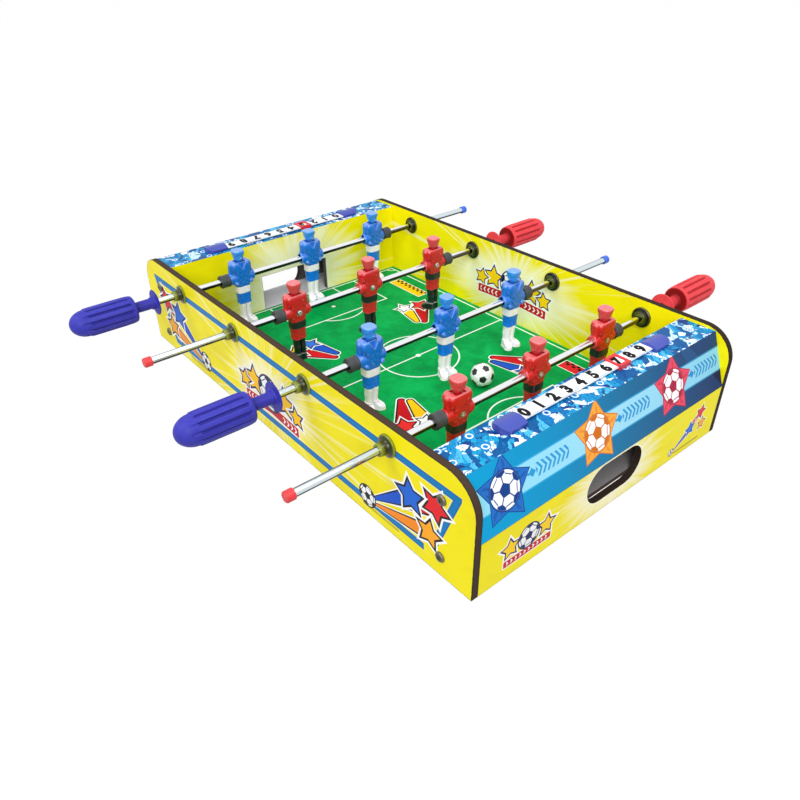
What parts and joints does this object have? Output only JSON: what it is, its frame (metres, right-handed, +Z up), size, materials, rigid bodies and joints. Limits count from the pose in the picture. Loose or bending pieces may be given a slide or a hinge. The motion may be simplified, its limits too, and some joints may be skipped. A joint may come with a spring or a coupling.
{
  "type": "tabletop foosball",
  "caption": "Small tabletop football game: open box cabinet with rods of plastic players turned and slid by handles, goals at both ends, sliding score markers and a ball.",
  "frame": {"origin": "centre of the table footprint, on the surface the table stands on", "axes": "+X from the left goal to the right goal, +Y along the rods to the back side, +Z up"},
  "size_m": [0.508, 0.532, 0.1125],
  "materials": {
    "cabinet_print": "fibreboard faced with glossy yellow sunburst printed paper, brown cut edges",
    "pitch_print": "fibreboard faced with green pitch print, satin",
    "slant_print": "fibreboard faced with blue gradient print, satin",
    "ledge_print": "fibreboard faced with blue and white camouflage print, satin",
    "batten_wood": "raw softwood",
    "dark_screw": "black coated",
    "bush_plastic": "glossy black moulded plastic",
    "scale_plastic": "white plastic strip with printed numbers",
    "clip_plastic": "purple-blue moulded plastic",
    "marker_plastic": "red moulded plastic",
    "ball_plastic": "white plastic with printed black patches",
    "rod_chrome": "polished plating",
    "handle_blue": "violet-blue moulded plastic",
    "handle_red": "red moulded plastic",
    "cap_blue": "blue moulded plastic",
    "cap_red": "red moulded plastic",
    "player_blue": "blue moulded plastic with white printed belt, legs and boots",
    "player_red": "red moulded plastic with black printed belt, legs and boots",
    "bright_screw": "zinc plated",
    "ring_rubber": "soft black rubber"
  },
  "bodies": {
    "cabinet": {"side_panel_front": "cabinet_print", "side_panel_back": "cabinet_print", "playfield_board": "pitch_print", "end_panel_left": "cabinet_print", "end_panel_right": "cabinet_print", "goal_wall_left": "cabinet_print", "goal_wall_right": "cabinet_print", "slant_panel_left": "slant_print", "slant_panel_right": "slant_print", "score_board_left": "ledge_print", "score_board_right": "ledge_print", "corner_battens": "batten_wood", "panel_screws": "dark_screw", "bush_sleeves_front": "bush_plastic", "bush_sleeves_back": "bush_plastic", "bush_nuts_front": "bush_plastic", "bush_nuts_back": "bush_plastic", "score_rail_left": "scale_plastic", "score_rail_right": "scale_plastic", "score_clips_left": "clip_plastic", "score_clips_right": "clip_plastic"},
    "rod_1_rings": {"rod_1_stop_rings": "ring_rubber"},
    "rod_1": {"rod_1_tube": "rod_chrome", "rod_1_handle": "handle_blue", "rod_1_end_cap": "cap_blue", "rod_1_player_a": "player_blue", "rod_1_player_b": "player_blue", "rod_1_player_c": "player_blue", "rod_1_player_screws": "bright_screw"},
    "rod_2_rings": {"rod_2_stop_rings": "ring_rubber"},
    "rod_2": {"rod_2_tube": "rod_chrome", "rod_2_handle": "handle_red", "rod_2_end_cap": "cap_red", "rod_2_player_a": "player_red", "rod_2_player_b": "player_red", "rod_2_player_c": "player_red", "rod_2_player_screws": "bright_screw"},
    "rod_3_rings": {"rod_3_stop_rings": "ring_rubber"},
    "rod_3": {"rod_3_tube": "rod_chrome", "rod_3_handle": "handle_blue", "rod_3_end_cap": "cap_blue", "rod_3_player_a": "player_blue", "rod_3_player_b": "player_blue", "rod_3_player_c": "player_blue", "rod_3_player_screws": "bright_screw"},
    "rod_4_rings": {"rod_4_stop_rings": "ring_rubber"},
    "rod_4": {"rod_4_tube": "rod_chrome", "rod_4_handle": "handle_red", "rod_4_end_cap": "cap_red", "rod_4_player_a": "player_red", "rod_4_player_b": "player_red", "rod_4_player_c": "player_red", "rod_4_player_screws": "bright_screw"},
    "score_slider_left": {"score_marker_left": "marker_plastic"},
    "score_slider_right": {"score_marker_right": "marker_plastic"},
    "ball": {"ball": "ball_plastic"}
  },
  "joints": [
    {"name": "rod_1_slide", "type": "slide", "parent": "cabinet", "child": "rod_1_rings", "axis": [0, 1, 0], "range_m": [-0.031, 0.017]},
    {"name": "rod_1_spin", "type": "hinge", "parent": "rod_1_rings", "child": "rod_1", "pos_m": [-0.165, 0, 0.083], "axis": [0, -1, 0], "range_deg": [-40, 230]},
    {"name": "rod_2_slide", "type": "slide", "parent": "cabinet", "child": "rod_2_rings", "axis": [0, 1, 0], "range_m": [-0.017, 0.031]},
    {"name": "rod_2_spin", "type": "hinge", "parent": "rod_2_rings", "child": "rod_2", "pos_m": [-0.058, 0, 0.083], "axis": [0, 1, 0], "continuous": true},
    {"name": "rod_3_slide", "type": "slide", "parent": "cabinet", "child": "rod_3_rings", "axis": [0, 1, 0], "range_m": [-0.031, 0.017]},
    {"name": "rod_3_spin", "type": "hinge", "parent": "rod_3_rings", "child": "rod_3", "pos_m": [0.058, 0, 0.083], "axis": [0, -1, 0], "continuous": true},
    {"name": "rod_4_slide", "type": "slide", "parent": "cabinet", "child": "rod_4_rings", "axis": [0, 1, 0], "range_m": [-0.017, 0.031]},
    {"name": "rod_4_spin", "type": "hinge", "parent": "rod_4_rings", "child": "rod_4", "pos_m": [0.165, 0, 0.083], "axis": [0, 1, 0], "range_deg": [-40, 230]},
    {"name": "score_slide_left", "type": "slide", "parent": "cabinet", "child": "score_slider_left", "axis": [0, 1, 0], "range_m": [-0.0936, 0.0468]},
    {"name": "score_slide_right", "type": "slide", "parent": "cabinet", "child": "score_slider_right", "axis": [0, 1, 0], "range_m": [-0.1092, 0.0312]},
    {"name": "ball_roll", "type": "slide", "parent": "cabinet", "child": "ball", "axis": [1, 0, 0], "range_m": [-0.314, 0.154]}
  ]
}
